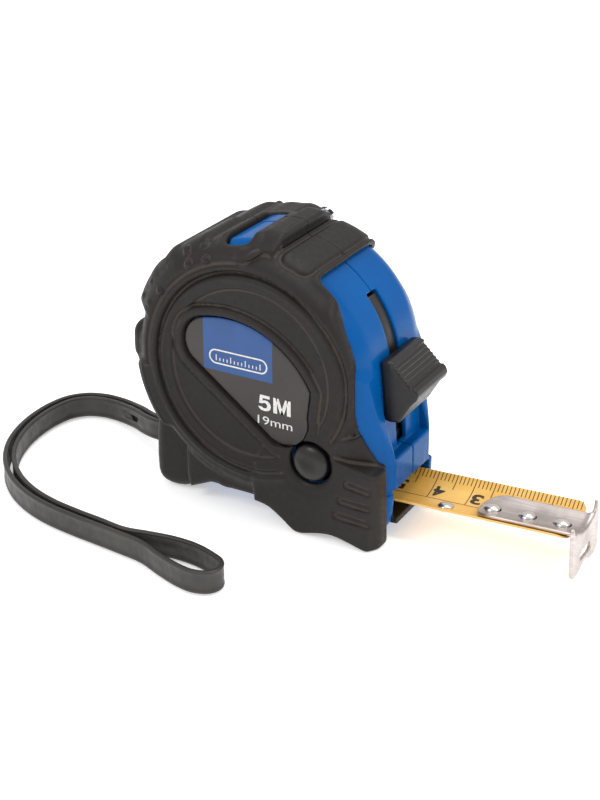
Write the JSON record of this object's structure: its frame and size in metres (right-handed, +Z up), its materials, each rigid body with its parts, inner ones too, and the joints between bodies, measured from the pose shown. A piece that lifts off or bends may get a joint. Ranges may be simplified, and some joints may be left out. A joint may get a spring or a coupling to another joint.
{
  "type": "pocket tape measure",
  "caption": "Pocket tape measure with a blue ABS case in black rubber jackets, a yellow steel blade with an end hook, thumb lock, side button, belt clip and wrist strap.",
  "frame": {"origin": "centre of the underside of the bounding box, wrist strap left out", "axes": "+X along the blade towards its end hook, +Y from the label side with the button towards the belt clip side, +Z up from the surface it stands on"},
  "size_m": [0.154, 0.081, 0.0722],
  "materials": {
    "blue_abs": "glossy moulded ABS",
    "rubber": "matte overmoulded rubber",
    "label_plastic": "satin moulded badge",
    "black_plastic": "satin moulded",
    "reel_plastic": "as moulded",
    "blade_yellow": "yellow lacquered spring steel",
    "spring_steel": "blued spring steel",
    "bare_steel": "bare pressed steel",
    "screw_steel": "zinc plated",
    "strap_rubber": "soft moulded rubber",
    "brake_rubber": "friction rubber"
  },
  "bodies": {
    "case": {"case_near": "blue_abs", "case_far": "blue_abs", "jacket_near": "rubber", "jacket_far": "rubber", "label_near": "label_plastic", "label_far": "label_plastic", "axle_post": "screw_steel", "axle_screw": "screw_steel", "axle_washer_near": "spring_steel", "axle_washer_far": "spring_steel", "lock_strip": "black_plastic", "mouth_bumper": "rubber", "case_screw_1": "screw_steel", "case_screw_2": "screw_steel", "case_screw_3": "screw_steel", "clip_plate": "bare_steel", "clip_screw": "screw_steel", "strap_pin": "screw_steel", "strap_tab": "strap_rubber", "wrist_strap": "strap_rubber"},
    "reel": {"reel_drum": "reel_plastic", "reel_flange": "reel_plastic", "blade_coil": "blade_yellow", "power_spring": "spring_steel"},
    "blade": {"blade": "blade_yellow", "hook_rivet_1": "bare_steel", "hook_rivet_2": "bare_steel", "hook_rivet_3": "bare_steel", "blade_rivet": "bare_steel"},
    "hook": {"end_hook": "bare_steel"},
    "lock": {"lock_slider": "black_plastic", "lock_shoe": "brake_rubber"},
    "button": {"brake_button": "black_plastic"},
    "clip": {"belt_clip": "bare_steel"}
  },
  "joints": [
    {"name": "blade_slide", "type": "slide", "parent": "case", "child": "blade", "axis": [1, 0, 0.0087], "range_m": [-0.042, 0.015]},
    {"name": "reel_spin", "type": "hinge", "parent": "case", "child": "reel", "pos_m": [-0.0209, -0.00252, 0.0389], "axis": [0, 1, 0], "range_deg": [-39, 111]},
    {"name": "hook_float", "type": "slide", "parent": "blade", "child": "hook", "axis": [0.9988, 0, 0.0489], "range_m": [-0.0009, 0.0009]},
    {"name": "lock_slide", "type": "slide", "parent": "case", "child": "lock", "axis": [0.096, 0, -0.9954], "range_m": [0, 0.0062]},
    {"name": "button_press", "type": "slide", "parent": "case", "child": "button", "axis": [0, 1, 0], "range_m": [0, 0.002], "stiffness_N_per_m": 400, "springref_m": -0.0005},
    {"name": "clip_flex", "type": "hinge", "parent": "case", "child": "clip", "pos_m": [-0.0239, 0.01897, 0.0597], "axis": [1, 0, 0], "range_deg": [0, 6], "stiffness_Nm_per_rad": 2}
  ],
  "couplings": [
    {"joint": "blade_slide", "follows": "reel_spin", "m_per_rad": -0.0216}
  ]
}
